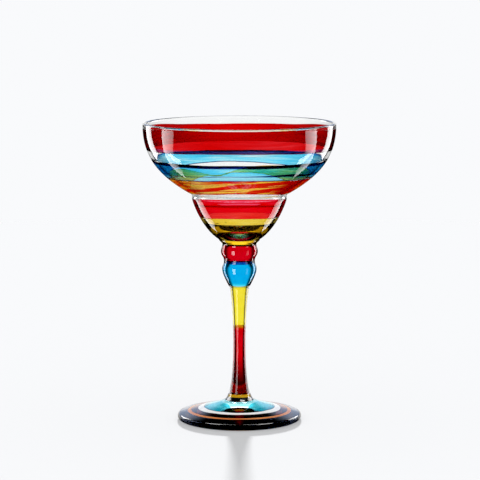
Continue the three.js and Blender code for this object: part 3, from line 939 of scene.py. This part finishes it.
class GLASS_OT_stem_coats(bpy.types.Operator):
    """Brush the coats of the knops and the stem, and the thin ring over the foot"""

    bl_idname = "glass.paint_stem"
    bl_label = "Knop and Stem Coats"

    def execute(self, context):
        colours = context.scene.glass_paints
        red = lacquer("Knop red lacquer", colours.knop_red, colours.knop_shade, 0.15, seed=41)
        coat_piece("red_knop_coat", red, blends=(("top", 0, 0.5 * MM, 1), ("bottom", 0, 0.7 * MM, 1)))
        blue = lacquer("Knop blue lacquer", colours.knop_blue, colours.knop_navy, 0.15, seed=43)
        coat_piece("blue_knop_coat", blue, (0.5, 0), thin=("bottom", 3.2 * MM, 0.1, 1),
                   blends=(("top", 0, 2 * MM, 1),))
        yellow = lacquer("Stem yellow lacquer", colours.stem_yellow, seed=47)
        coat_piece("yellow_stem_coat", yellow, (0, 0.2))
        red = lacquer("Stem red lacquer", colours.stem_red, colours.stem_amber, 0.5, seed=53)
        coat_piece("red_stem_coat", red, (0.5, 2.5), (0.5 * MM, 6 * MM), blends=(("top", 0, 2.2 * MM, 1),))
        # The ring's black lower stretch, carried over the flare, is painted shade.
        ring = lacquer("Stem ring lacquer", colours.stem_gold, colours.stem_black_painted_shade, seed=59, clear=0.4)
        coat_piece("yellow_stem_ring", ring, blends=(("bottom", 0, 3 * MM, 1),))
        return {"FINISHED"}


class GLASS_OT_foot_rings(bpy.types.Operator):
    """Brush the rings on top of the foot"""

    bl_idname = "glass.paint_foot"
    bl_label = "Foot Rings"

    def execute(self, context):
        colours = context.scene.glass_paints
        for colour, seed in (("white", 63), ("orange", 71)):
            coat = opaque_lacquer("Foot " + colour + " lacquer", getattr(colours, "foot_" + colour), seed)
            coat_piece(colour + "_foot_ring", coat, (0, 0))
        # The heavy load drawn to the front by focus is painted shade on the front of these transparent rings.
        rings = (("turquoise", 61, (0.5, 3), 3), ("maroon", 67, (1, 0.5), 2.5), ("smoke", 73, (0.5, 0.5), 6))
        for colour, seed, pools, front in rings:
            tint = getattr(colours, "foot_" + colour)
            coat = lacquer("Foot " + colour + " lacquer", tint, strokes=0.4, seed=seed, rim=0)
            coat_piece(colour + "_foot_ring", coat, pools, front=front, focus=8)
        return {"FINISHED"}


def add_camera():
    """Camera at the height, distance and tilt of the photograph."""
    stage = bpy.context.scene.glass_stage
    data = bpy.data.cameras.new("Camera")
    data.lens = stage.camera_lens
    data.sensor_width = stage.camera_sensor
    data.clip_start = 0.01
    camera = bpy.data.objects.new("Camera", data)
    camera.location = (stage.camera_aside, -stage.camera_distance, stage.camera_height)
    camera.rotation_euler = (math.pi / 2 - stage.camera_pitch, 0, 0)
    bpy.context.scene.collection.objects.link(camera)
    bpy.context.scene.camera = camera


def lit_room(tree, aside, ray):
    """Share of the lit room at the sides and the front, which only rays see that no surface has mirrored."""
    stage = bpy.context.scene.glass_stage
    straight = math_node(tree, "LESS_THAN", ray["Glossy Depth"], 0.5)
    return product(tree, smooth_range(tree, aside, stage.room_start, stage.room_end), straight)


def added(tree, first, second):
    """Sum of two shader nodes."""
    return add_node(tree, "ShaderNodeAddShader", {0: first.outputs[0], 1: second.outputs[0]})


def add_floor():
    """Round pale floor that keeps the shadow. The room and the lamp light it, and it glows by the rest that
    makes it as bright as the backdrop. Reflections in the glass look past it, and rays through the glass see
    it bright under the foot, which is painted light, but dark under the stem, which is a painted shadow, and
    bright in a lane that opens to the back, and dark beside it. Rays that no surface has mirrored also see it
    bright at the sides and the front."""
    stage = bpy.context.scene.glass_stage
    ring = np.stack([np.sin(ANGLE), np.cos(ANGLE), np.zeros(ROUND_STEPS)], axis=1) * stage.floor_radius
    ring[:, 2] = -FLOOR_DROP
    mesh = bpy.data.meshes.new("floor")
    mesh.from_pydata(ring[::-1].tolist(), [], [list(range(ROUND_STEPS))])
    floor = bpy.data.objects.new("floor", mesh)
    material, tree = new_material("Floor")
    pale = (*(np.array(stage.backdrop) * stage.sky_share), 1)
    rest = {"Color": (*stage.backdrop, 1), "Strength": 1 - stage.sky_share - stage.sun_share}
    lit = added(tree, add_node(tree, "ShaderNodeBsdfDiffuse", {"Color": pale}),
                add_node(tree, "ShaderNodeEmission", rest))
    place, split = place_in(tree)
    aside = math_node(tree, "ABSOLUTE", math_node(tree, "ARCTAN2", split["X"], split["Y"]))
    reach = add_node(tree, "ShaderNodeVectorMath", {0: place}, operation="LENGTH").outputs["Value"]
    opening = math_node(tree, "MINIMUM", math_node(tree, "MULTIPLY_ADD", reach, *LANE_OPENING), 1)
    lane = smooth_range(tree, math_node(tree, "DIVIDE", aside, opening), stage.lane_end, stage.lane_start)
    beyond = smooth_range(tree, reach, *LANE_REACH)
    # For rays through the glass: painted light under the foot, with a painted shadow under the stem.
    under = product(tree, smooth_range(tree, reach, *FOOT_GLOW_REACH),
                    smooth_range(tree, reach, *STEM_PAINTED_SHADOW_REACH))
    ray = add_node(tree, "ShaderNodeLightPath").outputs
    bright = math_node(tree, "MAXIMUM", product(tree, lane, beyond), under)
    bright = math_node(tree, "MAXIMUM", bright, product(tree, lit_room(tree, aside, ray), beyond))
    level = math_node(tree, "MULTIPLY_ADD", bright, FLOOR_LIGHT, DARK_LIGHT)
    seen = add_node(tree, "ShaderNodeEmission", {"Strength": level})
    show(tree, add_node(tree, "ShaderNodeMixShader", {
        0: ray["Is Transmission Ray"], 1: lit.outputs[0], 2: seen.outputs[0]}))
    mesh.materials.append(material)
    floor.visible_glossy = False
    bpy.context.scene.collection.objects.link(floor)
    return floor


def shine_on(light, pieces):
    """Lets a lamp or a light box reach only the named pieces."""
    lit = bpy.data.collections.new(light.name + "_pieces")
    for piece in pieces:
        lit.objects.link(bpy.data.objects[piece])
    light.light_linking.receiver_collection = lit
    bpy.context.scene.collection.objects.link(light)


def add_lamp(floor):
    """Soft lamp behind the glass that lights the floor alone, and throws the stem's shadow to the front."""
    stage = bpy.context.scene.glass_stage
    data = bpy.data.lights.new("Lamp", "SUN")
    data.energy = stage.sun_share / stage.sky_share * math.pi / math.sin(stage.sun_height)
    data.angle = stage.sun_spread
    lamp = bpy.data.objects.new("Lamp", data)
    lamp.rotation_euler = (stage.sun_height - math.pi / 2, 0, 0)
    shine_on(lamp, [floor.name])


def ease(value, low, high):
    """Smooth step of an array: nought at low, one at high."""
    share = np.clip((value - low) / (high - low), 0, 1)
    return share * share * (3 - 2 * share)


def add_light_box(name, turns, rises, glows, pieces, sweep=0.0, fade=1.0, behind=None):
    """Curved box front that only the named pieces show: part of a far cylinder around the glass, between two
    turns from the back and two rises, in degrees. Its glow runs evenly through the given values from turn to
    turn, and falls to the fade at its lower end. That end is swept to the back by a number of degrees, which
    grows with the square of the way down. It shows in reflections or, if it stands behind at a distance,
    through the glass, where it adds to what lies beyond it."""
    distance = behind or STRIP_DISTANCE
    columns = max(BOX_COLUMNS, len(glows))
    rise = np.linspace(rises[0], rises[1], BOX_ROWS)[:, None]
    down = (rises[1] - rise) / (rises[1] - rises[0])
    side = 1 if turns[0] + turns[1] > 0 else -1
    turn = np.radians(np.linspace(turns[0], turns[1], columns)[None, :] - side * sweep * down ** 2)
    height = NECK_Z + distance * np.tan(np.radians(rise)) + np.zeros(columns)
    points = np.stack([distance * np.sin(turn), distance * np.cos(turn), height], axis=-1)
    index = np.arange(BOX_ROWS * columns).reshape(BOX_ROWS, columns)
    faces = np.stack([index[:-1, :-1], index[:-1, 1:], index[1:, 1:], index[1:, :-1]], axis=-1).reshape(-1, 4)
    mesh = bpy.data.meshes.new(name)
    mesh.from_pydata(points.reshape(-1, 3).tolist(), [], faces.tolist())
    layer = mesh.attributes.new("glow", "FLOAT", "POINT")
    glow = np.interp(np.linspace(0, 1, columns), np.linspace(0, 1, len(glows)), glows)
    layer.data.foreach_set("value", (glow * (1 + (fade - 1) * down)).astype(np.float32).ravel())
    box = bpy.data.objects.new(name, mesh)
    material, tree = new_material(name)
    light = add_node(tree, "ShaderNodeEmission", {"Strength": attribute(tree, "glow")})
    show(tree, added(tree, light, add_node(tree, "ShaderNodeBsdfTransparent")))
    mesh.materials.append(material)
    box.visible_camera = False
    box.visible_diffuse = False
    box.visible_shadow = False
    box.visible_transmission = behind is not None
    box.visible_glossy = behind is None
    shine_on(box, pieces)


def add_world():
    """White room. Camera rays see the backdrop. Rays through the glass see a white panel at the back and a
    dark room beside it, which draws the dark outlines, and rays that no surface has mirrored see it white
    again at the sides and the front. Reflections see a low glow at the back and the strip boxes."""
    stage = bpy.context.scene.glass_stage
    world = bpy.data.worlds.new("Studio")
    bpy.context.scene.world = world
    world.use_nodes = True
    tree = world.node_tree
    tree.nodes.clear()
    ray = add_node(tree, "ShaderNodeLightPath").outputs
    split = place_in(tree, "Generated")[1]
    aside = math_node(tree, "ABSOLUTE", math_node(tree, "ARCTAN2", split["X"], split["Y"]))
    rise = math_node(tree, "ARCSINE", split["Z"])
    white = smooth_range(tree, aside, PANEL_END, PANEL_START)
    beside = product(tree, smooth_turn(tree, aside, *BESIDE_TURNS), BESIDE_LIGHT)
    seen = math_node(tree, "MULTIPLY_ADD", white, PANEL_LIGHT, math_node(tree, "ADD", beside, DARK_LIGHT))
    seen = math_node(tree, "MAXIMUM", seen, product(tree, lit_room(tree, aside, ray), ROOM_LIGHT))
    high = smooth_turn(tree, rise, *CEILING_RISES)
    seen = product(tree, seen, math_node(tree, "MULTIPLY_ADD", high, -CEILING_LOSS, 1))
    glow = product(tree, smooth_turn(tree, rise, *GLOW_FOOT), smooth_turn(tree, rise, *GLOW_TOP), GLOW_LIGHT,
                   smooth_turn(tree, aside, *GLOW_SIDES))
    level = mixed(tree, "FLOAT", ray["Is Glossy Ray"], 1, glow)
    level = mixed(tree, "FLOAT", ray["Is Transmission Ray"], level, seen)
    level = mixed(tree, "FLOAT", ray["Is Camera Ray"], level, 1)
    straight = math_node(tree, "SUBTRACT", 1, ray["Is Transmission Ray"])
    mirrored = product(tree, ray["Is Glossy Ray"], straight, smooth_turn(tree, rise, *TINT_RISES))
    colour = mixed(tree, "RGBA", mirrored, (1, 1, 1, 1), (*stage.glow_tint, 1))
    colour = mixed(tree, "RGBA", ray["Is Camera Ray"], colour, (*stage.backdrop, 1))
    show(tree, add_node(tree, "ShaderNodeBackground", {"Color": colour, "Strength": level}), "World")


class GLASS_OT_stage(bpy.types.Operator):
    """Make the camera, the floor and the light"""

    bl_idname = "glass.make_stage"
    bl_label = "Stage"

    def execute(self, context):
        scene = context.scene
        stage = scene.glass_stage
        scene.view_settings.view_transform = "Standard"
        scene.cycles.max_bounces = 32
        scene.cycles.glossy_bounces = 16
        scene.cycles.transmission_bounces = 32
        scene.cycles.transparent_max_bounces = 64
        add_camera()
        add_lamp(add_floor())
        for side, hand in ((-1, "_left"), (1, "_right")):
            for name, turns, rises, glows, pieces, sweep, fade in PAIRED_BOXES:
                glows = [stage.strip_glow * glow for glow in glows]
                add_light_box(name + hand, [side * turn for turn in turns], rises, glows, pieces, sweep, fade)
        for name, turns, rises, glow, pieces in SINGLE_BOXES:
            add_light_box(name, turns, rises, [stage.strip_glow * glow] * 2, pieces)
        sides = (-PANEL_TURN, PANEL_TURN)
        turns = np.radians(np.abs(np.arange(-PANEL_TURN, PANEL_TURN + 1)))
        lane = ease(turns, stage.lane_end, stage.lane_start)
        beside = np.maximum(lane - ease(turns, PANEL_END, PANEL_START), 0) * PANEL_LIGHT
        panels = (("bowl_panel", sides, (-30, -4.2), lane * 0.12, BOWL, 1.15),
                  ("panel", sides, (-30, 30), beside, KNOPS + STEM, 1.6),
                  ("cup_panel", sides, (-30, 30), beside * 0.5, CUP, 1.4),
                  ("amber_panel", (-75, 75), (-70, 20), (0.45, 0.45), AMBER, 1.3),
                  ("ring_panel", (-60, 60), (-80, 30), (0.8, 0.8), THIN_RING, 1.2),
                  ("foot_glow", (-40, 40), (-20, -6), (0.8, 0.8), FOOT_COATS, None),
                  ("foot_panel", (-70, 70), (-10, 50), (0.7, 0.7), CLEAR_RINGS + FOOT, 1.1))
        for name, turns, rises, glows, pieces, behind in panels:
            add_light_box(name, turns, rises, glows, pieces, behind=behind)
        add_world()
        return {"FINISHED"}


MAKERS = (GLASS_OT_bowl, GLASS_OT_knops_and_stem, GLASS_OT_foot, GLASS_OT_bowl_bands, GLASS_OT_stem_coats,
          GLASS_OT_foot_rings, GLASS_OT_stage)


class GLASS_PT_panel(bpy.types.Panel):
    """Lists the makers and the sizes, paints and stage settings"""

    bl_idname = "GLASS_PT_panel"
    bl_label = "Painted Cocktail Glass"
    bl_space_type = "VIEW_3D"
    bl_region_type = "UI"
    bl_category = "Glass"

    def draw(self, context):
        layout = self.layout
        for maker in MAKERS:
            layout.operator(maker.bl_idname)
        for group in (context.scene.glass_sizes, context.scene.glass_paints, context.scene.glass_stage):
            box = layout.box()
            for key in group.__annotations__:
                box.prop(group, key)


GROUPS = (("glass_sizes", GlassSizes), ("glass_paints", PaintColours), ("glass_stage", StageSettings))


def register():
    for key, group in GROUPS:
        bpy.utils.register_class(group)
        setattr(bpy.types.Scene, key, bpy.props.PointerProperty(type=group))
    for maker in MAKERS:
        bpy.utils.register_class(maker)
    bpy.utils.register_class(GLASS_PT_panel)


def unregister():
    bpy.utils.unregister_class(GLASS_PT_panel)
    for maker in reversed(MAKERS):
        bpy.utils.unregister_class(maker)
    for key, group in reversed(GROUPS):
        delattr(bpy.types.Scene, key)
        bpy.utils.unregister_class(group)


def main():
    register()
    bpy.ops.glass.make_bowl()
    bpy.ops.glass.make_knops_and_stem()
    bpy.ops.glass.make_foot()
    bpy.ops.glass.paint_bowl()
    bpy.ops.glass.paint_stem()
    bpy.ops.glass.paint_foot()
    bpy.ops.glass.make_stage()


if __name__ == "__main__":
    main()
